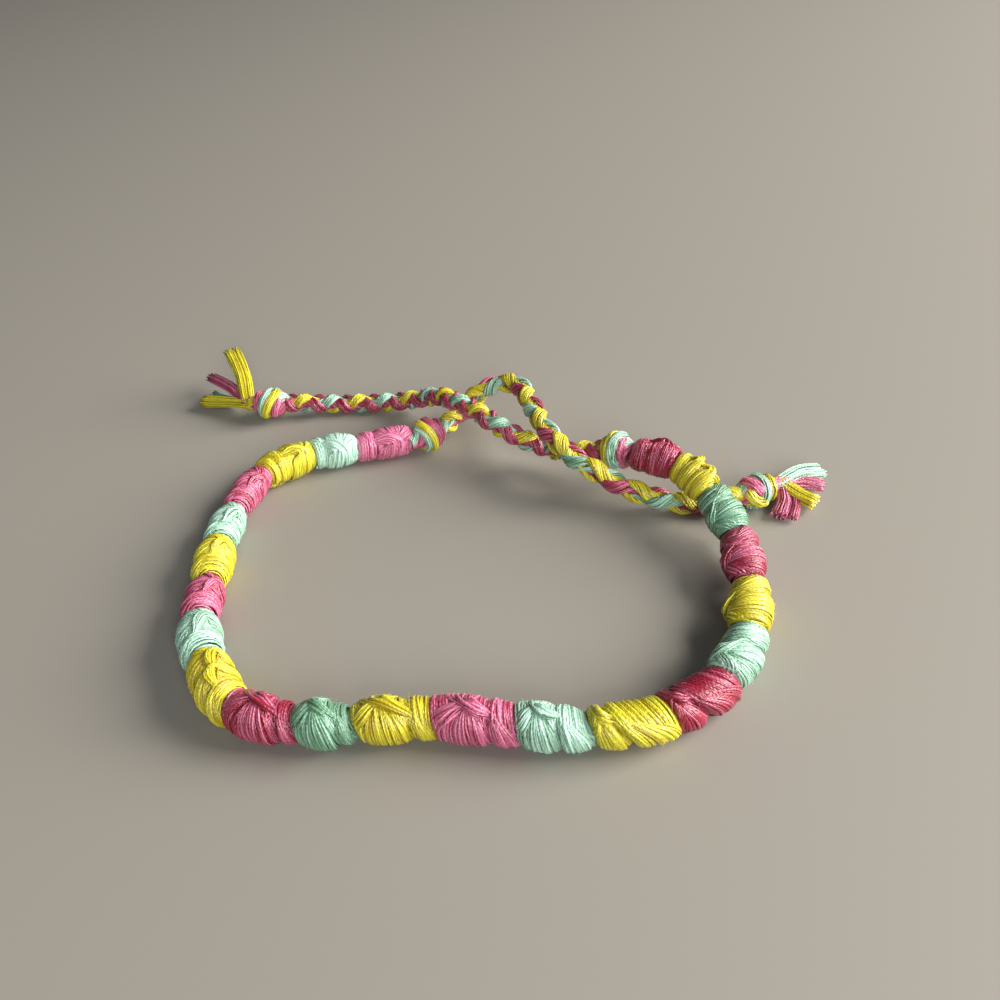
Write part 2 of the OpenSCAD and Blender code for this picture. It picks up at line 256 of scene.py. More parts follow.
# The bands of floss that show on a knot. Each follows points on it, given by two angles: from
# the end where the line enters (0) to the end where it leaves (180), and round the line.
KNOT_BAND_H = -0.1  # height over the knot's solid form, and how much higher each second band is
KNOT_BAND_OVER = 0.15
KNOT_BAND_END = 0.6  # share of the way from stop to stop over which it dives, and how deep
KNOT_BAND_DIVE = 0.9
KNOT_BAND_TAPER = 0.3
KNOT_BAND_SAG = 0.75  # of its edges, and how square it is
KNOT_BAND_SQUARE = 2.5
KNOT_BAND_STEPS = 10
KNOT_LAYERS = (
    # depth, distance from ply to ply
    (0, 0.2),
    (0.25, 0.3),
)
KNOT_BANDS = {
    "end_knot_left": (
        # colour, width, points as (from the start, round)
        ("mint", 1.3, ((38, 130), (42, 80), (52, 30), (58, -30), (50, -90))),
        ("yellow", 1.4, ((66, 140), (64, 85), (74, 30), (84, -30), (80, -90))),
        ("pink", 1.9, ((110, 150), (100, 90), (108, 35), (118, -30), (110, -100))),
        ("pink", 1.6, ((145, 110), (140, 60), (146, 0), (145, -60))),
        ("mint", 1.7, ((60, 250), (85, 215), (120, 180))),
        ("yellow", 1.7, ((100, 270), (120, 235), (140, 200))),
    ),
    "end_knot_right": (
        ("pink", 1.4, ((45, 60), (38, 110), (46, 160), (55, 210))),
        ("mint", 1.5, ((50, 40), (62, 85), (82, 130), (90, 180), (80, 230))),
        ("yellow", 1.6, ((95, 40), (105, 90), (112, 140), (118, 190), (105, 240))),
        ("yellow", 1.4, ((140, 60), (142, 120), (146, 180), (140, 230))),
        ("mint", 1.8, ((60, -70), (90, -20), (125, 20))),
        ("pink", 1.8, ((60, -110), (95, -70), (130, -40))),
    ),
    "tip_knot_left": (
        ("pink", 1.7, ((35, 110), (45, 150), (60, 190), (70, 230))),
        ("yellow", 1.5, ((60, 60), (62, 110), (85, 150), (105, 190), (110, 230))),
        ("mint", 1.6, ((80, 50), (95, 105), (115, 150), (125, 200), (110, 240))),
        ("pink", 1.2, ((130, 60), (140, 110), (150, 160), (145, 220))),
        ("yellow", 1.9, ((50, -90), (85, -50), (120, -10))),
        ("mint", 1.9, ((60, -20), (80, 15), (100, 40))),
    ),
    "tip_knot_right": (
        ("pink", 1.9, ((35, 140), (48, 95), (72, 50), (95, 10))),
        ("yellow", 1.7, ((25, 60), (50, 10), (85, -18), (118, -10))),
        ("mint", 1.6, ((95, 150), (108, 95), (116, 45), (108, -5), (95, -60))),
        ("yellow", 1.1, ((148, 150), (150, 95), (152, 45), (148, -10), (140, -70))),
        ("pink", 1.9, ((60, 200), (90, 235), (120, 265))),
        ("mint", 1.9, ((50, -50), (85, -85), (120, -120))),
    ),
}


def knot_way(row):
    """The direction of the line through a knot."""
    turn, pitch = math.radians(row[1]), math.radians(row[2])
    return np.array(
        [
            math.cos(turn) * math.cos(pitch),
            math.sin(turn) * math.cos(pitch),
            math.sin(pitch),
        ]
    )


def knot_end(name, side):
    """Where what a knot holds begins: side is -1 where the line enters, and 1 where it leaves."""
    row = KNOTS[name]
    return tuple(np.array(row[0]) + side * (row[3] / 2 + KNOT_GAP) * knot_way(row))


# The middle of each braid, from its end knot to its tip knot.
TIE_A = (
    knot_end("end_knot_left", 1),
    (-2.2, 30.4, 2.4),
    (-0.8, 32.4, 2.6),
    (0.9, 33.6, 3.7),
    (3.3, 33.8, 5.2),
    (5.8, 32.9, 6.2),
    (7.6, 30.6, 6.8),
    (8.5, 26.8, 7),
    (9.3, 23, 7),
    (10.2, 19.4, 6.9),
    (11.6, 16.2, 6.6),
    (13.6, 13.6, 5.8),
    (15.9, 12, 4.8),
    (18.3, 10.8, 3.6),
    (21, 10, 2.5),
    (23.5, 9.4, 1.8),
    (26, 8.6, 1.5),
    (28.5, 7.9, 1.6),
    (30.5, 7.7, 2.1),
    knot_end("tip_knot_right", -1),
)
TIE_B = (
    knot_end("end_knot_right", 1),
    (15.8, 17.7, 4.3),
    (14, 18.5, 3.6),
    (12, 19.4, 3.4),
    (10, 20.5, 3.5),
    (8, 21, 4.2),
    (5.6, 21.7, 5.4),
    (3.5, 23.1, 6.3),
    (1.7, 25.4, 6.5),
    (-0.2, 28, 6.2),
    (-2.2, 31, 5.6),
    (-4, 33.8, 4.5),
    (-6.6, 36, 3),
    (-9.6, 37.6, 1.9),
    (-17, 38.8, 1.5),
    (-22.6, 38.8, 2.2),
    knot_end("tip_knot_left", -1),
)
PITCH_A = 11.6  # length of one turn of a strand round its braid
PITCH_B = 8
STRAND_T = 1.15
LOBE_W = 2.1  # width of a strand where it lies outside, and where it lies inside
CORE_W = 1.5
STRAND_R = 0.57  # how far a strand runs from the middle of its braid
STRAND_WEAVE = 0.32  # and how far it weaves in and out of that
STRAND_PLIES = 18
STRAND_TURN = 9  # length of one turn of its plies
STRAND_STEP = 0.4
STRANDS = (
    # name, colour, route, pitch, way it winds, phase, roll of the braid
    ("tie_a_yellow_1", "yellow", TIE_A, PITCH_A, -1, -30, 0),
    ("tie_a_yellow_2", "yellow", TIE_A, PITCH_A, -1, 150, 0),
    ("tie_a_mint", "mint", TIE_A, PITCH_A, 1, 30, 0),
    ("tie_a_pink", "pink", TIE_A, PITCH_A, 1, 210, 0),
    ("tie_b_yellow", "yellow", TIE_B, PITCH_B, 1, -135, 95),
    ("tie_b_mint", "mint", TIE_B, PITCH_B, 1, 45, 95),
    ("tie_b_pink_1", "pink", TIE_B, PITCH_B, -1, 135, 95),
    ("tie_b_pink_2", "pink", TIE_B, PITCH_B, -1, -45, 95),
)

# The locks of cut ends: middle and tip of each, and its width at the throat and the tip.
LOCK_PLIES = 70
LOCK_PLY_R = 0.11
LOCK_T = 1.8
LOCK_W = 1.3  # how much wider than its solid a lock spreads
LOCK_STEPS = 16
LOCK_SHORTEST = 0.94  # share of its length that the shortest ply reaches
LOCK_ROOT = 0.8  # how far inside the knot it begins, and where it comes free
LOCK_THROAT = 0.9
LOCK_GATHER = 0.5  # share of its thickness at the root
LOCK_OPENS = 0.8  # how soon it spreads towards its tip: a power
TASSELS = {
    "tassel_left": (
        "tip_knot_left",
        (
            # colour, middle, tip, root_w, tip_w
            ("yellow", (-33.2, 45, 4.4), (-35.4, 50.4, 6), 1.3, 2.3),
            ("pink", (-35.2, 44.2, 2.9), (-39, 48.4, 2.6), 1.1, 1.7),
            ("yellow", (-35.6, 41.8, 1.9), (-40, 43.8, 1.2), 1.2, 2.1),
            ("mint", (-35, 43, 1.2), (-38.8, 46, 0.8), 0.9, 1.3),
        ),
    ),
    "tassel_right": (
        "tip_knot_right",
        (
            ("mint", (41, 12, 2), (44.2, 13, 1.3), 1.3, 2.5),
            ("pink", (41, 10.5, 1.7), (43.6, 10.2, 1), 1.1, 1.8),
            ("yellow", (39.8, 8.4, 1.6), (41.8, 6.7, 1.2), 1.2, 2.2),
            ("pink", (38.4, 7.6, 1.2), (37.2, 5.2, 0.7), 1.3, 3),
        ),
    ),
}

# The fibres along a ply: how often they change in each mm and in a turn round the ply, and how
# far apart the patterns of two plies are.
FIBRE_ALONG = 0.6
FIBRE_ROUND = 6
FIBRE_SHIFT = 90
BLOTCH_SCALE = 700  # uneven dye, in each metre

# How much the fibres, the ply's tone (its own, plus painted light and shade) and the uneven dye
# count in the colour, and the range of their sum from the thread's own colour to its palest.
FIBRE_SHARE = 0.8
TONE_SHARE = 0.35
BLOTCH_SHARE = 0.2
RAMP = (0.46, 0.92)
TWIST_SHARE = 0.2  # in the bump, beside the fibres
TWIST_RIDGES = 2  # in one turn of the twist
BUMP_DEPTH = 0.07

# Floss colours, linear: the thread itself, and its palest plies.
COLOURS = {
    "pink": ((0.32, 0.006, 0.03), (0.93, 0.265, 0.45)),
    "mint": ((0.16, 0.345, 0.2), (0.62, 0.93, 0.75)),
    "yellow": ((0.50, 0.36, 0.001), (0.95, 0.90, 0.05)),
}
COLOUR_ORDER = tuple(COLOURS)

# The studio, in metres.
SKY_COLOUR = (0.80, 0.87, 0.96, 1)
SKY_STRENGTH = 0.14
LIT_POINT = (0, 0.005, 0)
LIGHTS = (
    # name, place, size, energy, colour
    ("window", (0.75, 0, 0.36), 0.55, 15.5, (1, 0.98, 0.95)),
    ("room", (0.2, -0.7, 0.4), 0.35, 4, (0.95, 0.98, 1)),
)
FLOOR_REACH = 1.5
FLOOR_COLOUR = (0.33, 0.3, 0.255, 1)
FLOOR_ROUGHNESS = 0.6

# The photograph's camera: its place in metres, how far it looks down and its roll in degrees.
EYE = (0.0035, -0.086, 0.078)
PITCH = 37.8
ROLL = -5.2
LENS = 35.71
SENSOR = 36
CLIP = (0.005, 10)


def unit(v):
    """Vectors of length 1."""
    return v / np.linalg.norm(v, axis=-1, keepdims=True)


def along(points, u):
    """Points on a smooth line through points, where u counts the points passed."""
    p = np.asarray(points, float)
    p = np.vstack([2 * p[0] - p[1], p, 2 * p[-1] - p[-2]])
    i = np.clip(np.floor(u).astype(int), 0, len(p) - 4)
    t = (u - i)[..., None]
    a, b, c, d = p[i], p[i + 1], p[i + 2], p[i + 3]
    return 0.5 * (
        2 * b
        + (c - a) * t
        + (2 * a - 5 * b + 4 * c - d) * t**2
        + (3 * b - a - 3 * c + d) * t**3
    )


def heading(points, u):
    """The direction of that line."""
    return unit(along(points, u + HEADING_STEP) - along(points, u - HEADING_STEP))


def across(way):
    """Two directions across a line: to its right, seen from above, and up."""
    out = unit(np.cross(way, (0.0, 0.0, 1.0)))
    return out, np.cross(out, way)


def wander(rng, kind, count, steps):
    """Smooth random offsets, one row of steps for each of count threads."""
    cycles, size = WANDERS[kind]
    x = np.linspace(0, 1, steps)
    waves = np.arange(1, cycles + 1)
    phase = rng.uniform(0, 2 * math.pi, (count, cycles, 1))
    height = rng.normal(0, 1, (count, cycles, 1)) / np.sqrt(waves)[None, :, None]
    total = (height * np.sin(2 * math.pi * waves[None, :, None] * x + phase)).sum(1)
    return size * total / math.sqrt(cycles)


class Weave:
    """Collects threads and skins, and makes one mesh piece of them."""

    def __init__(self):
        self.points, self.loops, self.starts, self.colours = [], [], [], []
        self.uvs, self.tones = [], []
        self.point_count = self.loop_count = 0

    def add_rings(self, rings, colour, tones, u):
        """Closed skins. rings is threads x steps x sides x 3, u the length along each step."""
        threads, steps, sides, _ = rings.shape
        base = self.point_count
        t, s, k = np.meshgrid(
            np.arange(threads), np.arange(steps - 1), np.arange(sides), indexing="ij"
        )
        near = base + (t * steps + s) * sides
        quads = np.stack(
            [near + k, near + (k + 1) % sides, near + sides + (k + 1) % sides, near + sides + k], -1
        )
        v = np.stack([k, k + 1, k + 1, k], -1) / sides
        along_u = np.stack([u[t, s], u[t, s], u[t, s + 1], u[t, s + 1]], -1)
        ends = base + np.arange(threads)[:, None] * steps * sides + np.arange(sides)
        caps = np.concatenate([ends[:, ::-1], ends + (steps - 1) * sides])
        cap_tone = np.concatenate([tones, tones])
        self.points.append(rings.reshape(-1, 3))
        for faces, uv, tone in (
            (
                quads.reshape(-1, 4),
                np.stack([along_u, v], -1).reshape(-1, 2),
                np.repeat(tones, (steps - 1) * sides),
            ),
            (caps, np.zeros((caps.size, 2)), cap_tone),
        ):
            size = faces.shape[1]
            self.starts.append(self.loop_count + size * np.arange(len(faces)))
            self.loops.append(faces.ravel())
            self.uvs.append(uv)
            self.tones.append(np.repeat(tone, size))
            self.colours.append(np.full(len(faces), COLOUR_ORDER.index(colour)))
            self.loop_count += faces.size
        self.point_count += threads * steps * sides

    def add_threads(self, paths, normals, radius, colour, tones, sides=PLY_SIDES):
        """Flattened threads along paths, threads x steps x 3, with a normal at each step."""
        way = unit(np.gradient(paths, axis=1))
        side = unit(np.cross(way, normals))
        lift = np.cross(side, way)
        turn = 2 * math.pi * np.arange(sides) / sides
        radius = np.broadcast_to(radius, paths.shape[:2])[..., None, None]
        wide, thick = np.cos(turn)[:, None], PLY_FLAT * np.sin(turn)[:, None]
        rings = paths[:, :, None] + radius * (wide * side[:, :, None] + thick * lift[:, :, None])
        gone = np.linalg.norm(np.diff(paths, axis=1), axis=-1).cumsum(1)
        u = np.concatenate([np.zeros((len(paths), 1)), gone], 1)
        self.add_rings(rings, colour, tones, u)

    def build(self, node):
        """The piece of floss that stands for a node."""
        name = node + "_floss"
        mesh = bpy.data.meshes.new(name)
        points = np.concatenate(self.points)
        points[:, 2] = np.maximum(points[:, 2], 0)
        loops = np.concatenate(self.loops)
        starts = np.concatenate(self.starts)
        mesh.vertices.add(len(points))
        mesh.vertices.foreach_set("co", (points * MM).astype(np.float32).ravel())
        mesh.loops.add(len(loops))
        mesh.loops.foreach_set("vertex_index", loops.astype(np.int32))
        mesh.polygons.add(len(starts))
        mesh.polygons.foreach_set("loop_start", starts.astype(np.int32))
        used = np.unique(np.concatenate(self.colours))
        index = np.searchsorted(used, np.concatenate(self.colours))
        mesh.polygons.foreach_set("material_index", index.astype(np.int32))
        mesh.update(calc_edges=True)
        mesh.uv_layers.new(name="thread").data.foreach_set(
            "uv", np.concatenate(self.uvs).astype(np.float32).ravel()
        )
        tone = mesh.attributes.new("tone", "FLOAT", "CORNER")
        tone.data.foreach_set("value", np.concatenate(self.tones).astype(np.float32))
        mesh.shade_smooth()
        for k in used:
            mesh.materials.append(MATERIALS[COLOUR_ORDER[k]])
        piece = bpy.data.objects.new(name, mesh)
        bpy.context.scene.collection.objects.link(piece)
        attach(piece, "root")
        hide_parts(node)


def floss(name, thread, pale):
    """Mercerised cotton: satin, with fine fibres, the twist of each ply and changes of colour."""
    made = bpy.data.materials.new(name)
    made.use_nodes = True
    nodes, links = made.node_tree.nodes, made.node_tree.links
    shader = nodes["Principled BSDF"]
    shader.inputs["Roughness"].default_value = 0.36
    shader.inputs["Specular IOR Level"].default_value = 0.9
    shader.inputs["Sheen Weight"].default_value = 0.05
    shader.inputs["Sheen Roughness"].default_value = 0.4

    def node(kind, **values):
        made_node = nodes.new(kind)
        for key, value in values.items():
            setattr(made_node, key, value)
        return made_node

    def math_node(operation, first, second=None, third=None):
        sum_node = node("ShaderNodeMath", operation=operation)
        for socket, value in zip(sum_node.inputs, (first, second, third)):
            if isinstance(value, bpy.types.NodeSocket):
                links.new(value, socket)
            elif value is not None:
                socket.default_value = value
        return sum_node.outputs["Value"]

    # tone: each ply's own random tone, plus the painted light and shade of its section or strand
    tone = node("ShaderNodeAttribute", attribute_name="tone").outputs["Fac"]
    where = node("ShaderNodeUVMap", uv_map="thread")
    split = node("ShaderNodeSeparateXYZ")
    links.new(where.outputs["UV"], split.inputs["Vector"])
    length, turn = split.outputs["X"], split.outputs["Y"]

    place = node("ShaderNodeCombineXYZ")
    links.new(math_node("MULTIPLY", length, FIBRE_ALONG), place.inputs["X"])
    links.new(math_node("MULTIPLY", turn, FIBRE_ROUND), place.inputs["Y"])
    links.new(math_node("MULTIPLY", tone, FIBRE_SHIFT), place.inputs["Z"])
    fibres = node("ShaderNodeTexNoise")
    fibres.inputs["Scale"].default_value = 1
    fibres.inputs["Detail"].default_value = 3
    links.new(place.outputs["Vector"], fibres.inputs["Vector"])

    blotch = node("ShaderNodeTexNoise")
    blotch.inputs["Scale"].default_value = BLOTCH_SCALE
    links.new(node("ShaderNodeTexCoord").outputs["Object"], blotch.inputs["Vector"])
    dye = math_node("MULTIPLY", blotch.outputs["Fac"], BLOTCH_SHARE)
    blend = math_node("MULTIPLY_ADD", tone, TONE_SHARE, dye)
    blend = math_node("MULTIPLY_ADD", fibres.outputs["Fac"], FIBRE_SHARE, blend)
    ramp = node("ShaderNodeValToRGB")
    low, high = ramp.color_ramp.elements
    low.position, high.position = RAMP
    low.color, high.color = (*thread, 1), (*pale, 1)
    links.new(blend, ramp.inputs["Fac"])
    links.new(ramp.outputs["Color"], shader.inputs["Base Color"])

    wound = math_node("MULTIPLY_ADD", length, 1 / PLY_TWIST, turn)
    twist = math_node("SINE", math_node("MULTIPLY", wound, 2 * math.pi * TWIST_RIDGES))
    bump = node("ShaderNodeBump")
    bump.inputs["Strength"].default_value = 0.7
    bump.inputs["Distance"].default_value = BUMP_DEPTH * MM
    relief = math_node("MULTIPLY_ADD", twist, TWIST_SHARE, fibres.outputs["Fac"])
    links.new(relief, bump.inputs["Height"])
    links.new(bump.outputs["Normal"], shader.inputs["Normal"])
    return made


def band_line():
    """Middle line of the band. Its height follows the thickness."""
    froms, tos = [row[5] for row in SECTIONS], [row[6] for row in SECTIONS]
    sizes = [froms[0]] + [(a + b) / 2 for a, b in zip(tos, froms[1:])] + [tos[-1]]
    places = [row[2:5] for row in SECTIONS] + [BAND_END]
    return [(x, y, lift + BAND_D / 2 * s) for (x, y, lift), s in zip(places, sizes)]


def bell(x):
    """1 at 0, and fading to 0 at about 2 on both sides."""
    return np.exp(-x * x)


def section_radius(k, t, angle):
    """How thick a section is at t of the way along it, where a lump covers each crossing."""
    name, *_, size_from, size_to, crossings = SECTIONS[k]
    share_on = np.clip((t - EVEN_END) / (1 - 2 * EVEN_END), 0, 1)
    size = size_from + (size_to - size_from) * share_on
    waist_from, waist_to = WAISTS.get(name, (WAIST, WAIST))
    waist = waist_from + (waist_to - waist_from) * t
    belly = waist + (1 - waist) * np.sin(math.pi * t) ** BELLY
    lumps = grooves = 0
    groove = GROOVES.get(name, GROOVE)
    for share, turn in crossings:
        off = (angle - turn + 180) % 360 - 180
        near = bell((t - share) * LENGTHS[k] / HITCH_L) * bell(off / HITCH_TURN)
        lumps = np.maximum(lumps, near)
    for left, turn in zip(hitch_lefts(k)[1:], [row[1] for row in crossings[1:]]):
        below = (turn - angle) % 360
        faces_out = np.clip(below / GROOVE_FULL, 0, 1)
        faces_out = faces_out * np.clip((GROOVE_END - below) / GROOVE_FADE, 0, 1)
        here = GROOVE_BACK + (1 - GROOVE_BACK) * faces_out
        grooves = np.maximum(grooves, bell((t * LENGTHS[k] - left) / GROOVE_L) * here)
    raised = HITCH_H * np.sin(math.pi * t) * lumps - groove * grooves
    return BAND_D / 2 * size * belly + raised


def hitch_lefts(k):
    """Where along section k the fan of plies of each hitch begins."""
    places = [share * LENGTHS[k] for share, _ in SECTIONS[k][-1]]
    return [0, *(b - FAN_BACK * (b - a) for a, b in zip(places, places[1:]))]


def band_point(k, t, angle, depth):
    """A point of section k below its surface, and the direction out of the band there."""
    way = heading(BAND, k + t)
    out, up = across(way)
    turn = np.radians(angle)[..., None]
    radial = np.cos(turn) * out + np.sin(turn) * up
    lean = SLANTS.get(SECTIONS[k][0], SLANT) - SLANT
    lean = SLANT + lean * (1 - (2 * np.clip(t, 0, 1) - 1) ** 2)
    ahead = (lean * np.cos(np.radians(angle - SLANT_ANGLE)))[..., None]
    r = (section_radius(k, t, angle) - depth)[..., None]
    return along(BAND, k + t) + ahead * way + r * radial, radial


def hitch_stops(k):
    """Stops of the thread through the half hitches of section k.

    Each is the place along the section of its first and last ply, the angle of its middle, the
    half spread of its plies round the section, its height, how far its plies heap up, and where
    the first and last ply that aren't in the bar dive, and how deep.
    """
    length, crossings = LENGTHS[k], SECTIONS[k][-1]
    places = [share * length for share, _ in crossings]
    angles = [angle - 360 * i for i, (_, angle) in enumerate(crossings)]
    stops = [
        (share * places[0], share * places[0], angles[0] + turn, spread, height, heap, 0, 0, 0)
        for share, turn, spread, height, heap in LEAD_IN
    ]
    ahead = [*places[1:], length]
    for left, place, after, angle in zip(hitch_lefts(k), places, ahead, angles):
        right = place + (1 + FAN_AHEAD) * (after - place)
        for turn, fan, spread, height, heap in WRAP:
            first, last = (place + fan * (side - place) for side in (left, right))
            under = SINK if turn > DIVE_TURN else 0
            stops.append((first, last, angle - turn, spread, height, heap, left, right, under))
            if after == length and turn >= LAST_TURN:
                stops[-1] = (first, last, angle - turn, spread, -SINK, heap, left, right, 0)
                return np.array(stops, float)
        share, turn, spread, height, heap = BAR
        bar = place + share * (after - place)
        stops.append((bar, bar, angle - turn, spread, height, heap, left, right, SINK))
    return np.array(stops, float)


def shoulder(k, place):
    """How far the surface dives next to the ends of section k."""
    to_end = np.minimum(place, LENGTHS[k] - place) / SHOULDER_L
    return SHOULDER * np.clip(1 - to_end, 0, 1) ** 2


def add_coil(weave, k, rng):
    """Plies wound round section k, under its hitches and bare next to the last of them."""
    length, (share, crossing) = LENGTHS[k], SECTIONS[k][-1][-1]
    wraps = round(length / COIL_STEP)
    jitter = rng.uniform(-COIL_JITTER, COIL_JITTER, (wraps, 1))
    turn = np.linspace(0, COIL_TURN, COIL_STEPS)[None] + jitter
    angle = COIL_START - turn
    place = np.linspace(CLEAR, length - CLEAR, wraps)[:, None] + COIL_STEP * turn / 360
    place = np.clip(place + wander(rng, "coil_along", wraps, COIL_STEPS), CLEAR, length - CLEAR)
    facing = np.cos(np.radians(angle - crossing - BARE_ANGLE))
    bare = np.clip(BARE_EDGE * facing + BARE_LEVEL, 0, 1)
    bare = bare * np.clip(place - share * length + BARE_BEFORE, 0, 1)
    ridge = np.clip(np.cos(np.radians(angle - crossing - RIDGE_ANGLE)), 0, 1)
    bare = np.maximum(bare, COIL_RIDGE * ridge)
    dive = np.clip(1 - np.minimum(turn, COIL_TURN - turn) / COIL_END, 0, 1)
    depth = COIL_DEPTH - COIL_RAISE * bare + COIL_DIVE * dive + shoulder(k, place)
    depth = depth + rng.uniform(-COIL_VARIES, COIL_VARIES, (wraps, 1))
    depth = depth + wander(rng, "coil_out", wraps, COIL_STEPS)
    paths, radial = band_point(k, place / length, angle, depth)
    thick = PLY_R * rng.uniform(*COIL_PLIES, (wraps, 1))
    # the section's painted light and shade shifts the tone of these plies
    tones = rng.uniform(0, 1, wraps) + PAINTED_LIGHT_AND_SHADE.get(SECTIONS[k][0], 0)
    weave.add_threads(paths, radial, thick, SECTIONS[k][1], tones)


def add_hairs(weave, k, rng):
    """Stray fibres that stand out of section k."""
    size = (HAIRS, 1)
    s = np.linspace(0, 1, HAIR_STEPS)[None]
    place = rng.uniform(*HAIR_PLACES, size) * LENGTHS[k]
    place = place + rng.uniform(-HAIR_RUN, HAIR_RUN, size) * s
    angle = rng.uniform(*HAIR_ANGLES, size) + rng.uniform(-HAIR_TURN, HAIR_TURN, size) * s
    height = HAIR_H * rng.uniform(*HAIR_HEIGHTS, size) * np.sin(math.pi * HAIR_ARCH * s)
    t = np.clip(place / LENGTHS[k], *HAIR_REACH)
    paths, radial = band_point(k, t, angle, HAIR_ROOT - height)
    tones = rng.uniform(*HAIR_TONES, HAIRS)
    weave.add_threads(paths, radial, HAIR_R, SECTIONS[k][1], tones, HAIR_SIDES)


def section(k, rng):
    """A section of the band: the plies of its hitches, the plies under them, hairs and skin."""
    name, colour, *_ = SECTIONS[k]
    stops = hitch_stops(k)
    steps = STEPS_A_STOP * len(stops)
    u = np.linspace(0, len(stops) - 1, steps)
    jitter = rng.uniform(-BUNDLE_JITTER, BUNDLE_JITTER, (BUNDLE, 1))
    side = np.linspace(-1, 1, BUNDLE)[:, None] + jitter
    first, last, angle, spread, height, heap, left, right, under = stops.T
    outside = np.clip((np.abs(side) - BAR_SHARE) / BAR_EDGE, 0, 1)
    away = outside * (under > 0)
    place = (1 - away) * ((first + last) / 2 + side * (last - first) / 2)
    place = place + away * ((left + right) / 2 + side * (right - left) / 2)
    height = height - outside * under
    plies = np.stack(np.broadcast_arrays(place, angle + side * spread, height, heap), -1)
    place, angle, height, heap = np.stack([along(ply, u) for ply in plies]).transpose(2, 0, 1)
    place = place + wander(rng, "hitch_along", BUNDLE, steps)
    place = np.clip(place, CLEAR, LENGTHS[k] - CLEAR)
    layer = rng.permutation(np.arange(BUNDLE) % LAYERS)[:, None]
    layer = layer * (LAYER_FLAT + LAYER_HEAP * heap) * PLY_R
    depth = PLY_FLAT * PLY_R - height + layer + BUNDLE_DROP * side**2
    depth = depth + wander(rng, "hitch_out", BUNDLE, steps)
    angle = angle + wander(rng, "hitch_round", BUNDLE, steps)
    paths, radial = band_point(k, place / LENGTHS[k], angle, depth + shoulder(k, place))
    weave = Weave()
    thick = PLY_R * rng.uniform(*BUNDLE_PLIES, (BUNDLE, 1))
    # the section's painted light and shade shifts the tone of these plies
    tones = rng.uniform(0, 1, BUNDLE) + PAINTED_LIGHT_AND_SHADE.get(name, 0)
    weave.add_threads(paths, radial, thick, colour, tones)

    add_coil(weave, k, rng)
    add_hairs(weave, k, rng)
    ends = CLEAR / LENGTHS[k]
    angle = 360 / SKIN_SIDES * np.arange(SKIN_SIDES)
    t, angle = np.meshgrid(np.linspace(ends, 1 - ends, SKIN_RINGS), angle, indexing="ij")
    rings, _ = band_point(k, t, angle, SKIN_DEPTH + shoulder(k, t * LENGTHS[k]))
    # tone 0, at the dark end of the plies' own range: painted shade in the gaps between plies
    weave.add_rings(rings[None], colour, np.zeros(1), np.zeros((1, SKIN_RINGS)))
    weave.build(name)


def route_steps(route, step):
    """The places u along a route that are about one step apart, and how far along they are."""
    fine = np.linspace(0, len(route) - 1, ROUTE_FINE * len(route))
    points = along(route, fine)
    gone = np.concatenate([[0], np.linalg.norm(np.diff(points, axis=0), axis=1).cumsum()])
    reach = np.linspace(0, gone[-1], round(gone[-1] / step) + 1)
    return np.interp(reach, gone, fine), reach


def strand(row, rng):
    """A strand of a braided tie, as a flattened bundle of plies."""
    name, colour, route, pitch, winding, phase, roll = row
    start = np.array(route[0]) + SINK * unit(np.subtract(route[0], route[1]))
    end = np.array(route[-1]) + SINK * unit(np.subtract(route[-1], route[-2]))
    line = (start, *route, end)
    u, reach = route_steps(line, STRAND_STEP)
    steps = len(u)
    turn = winding * 360 * (reach - SINK) / pitch + phase
    outward = winding * np.cos(np.radians(2 * turn))
    r = STRAND_R + STRAND_WEAVE * outward
    width = CORE_W + (LOBE_W - CORE_W) * (1 + outward) / 2
    way = heading(line, u)
    out, up = across(way)
    a = np.radians(turn + roll)[:, None]
    radial = np.cos(a) * out + np.sin(a) * up
    side = np.cross(way, radial)
    middle = along(line, u) + r[:, None] * radial

    ply = 2 * math.pi * np.arange(STRAND_PLIES)[:, None] / STRAND_PLIES
    ply = ply + winding * 2 * math.pi * reach / STRAND_TURN
    ply = ply + wander(rng, "strand_round", STRAND_PLIES, steps)
    wide = (width / 2 - PLY_R) * np.cos(ply)
    thick = (STRAND_T / 2 - PLY_R) * np.sin(ply)
    thick = thick + wander(rng, "strand_out", STRAND_PLIES, steps)
    paths = middle + wide[..., None] * side + thick[..., None] * radial
    normals = np.broadcast_to(radial, paths.shape)
    weave = Weave()
    # the strand's painted light and shade shifts the tone of its plies
    tones = rng.uniform(0, 1, STRAND_PLIES) + PAINTED_LIGHT_AND_SHADE.get(name, 0)
    weave.add_threads(paths, normals, PLY_R, colour, tones)
    weave.build(name)


def knot_point(row, polar, round_it, raised=0.0):
    """A point on a knot, and the direction out of the knot there."""
    middle, _, _, length, width, height = row
    way = knot_way(row)
    out, up = across(way)
    polar, round_it = np.radians(polar)[..., None], np.radians(round_it)[..., None]
    bulge = np.sin(polar) ** KNOT_SQUARE
    raised = np.asarray(raised)[..., None]
    point = (
        np.array(middle)
        - (length / 2 + raised) * np.cos(polar) * way
        + (width / 2 + raised) * bulge * np.cos(round_it) * out
        + (height / 2 + raised) * bulge * np.sin(round_it) * up
    )
    return point, unit(point - np.array(middle))


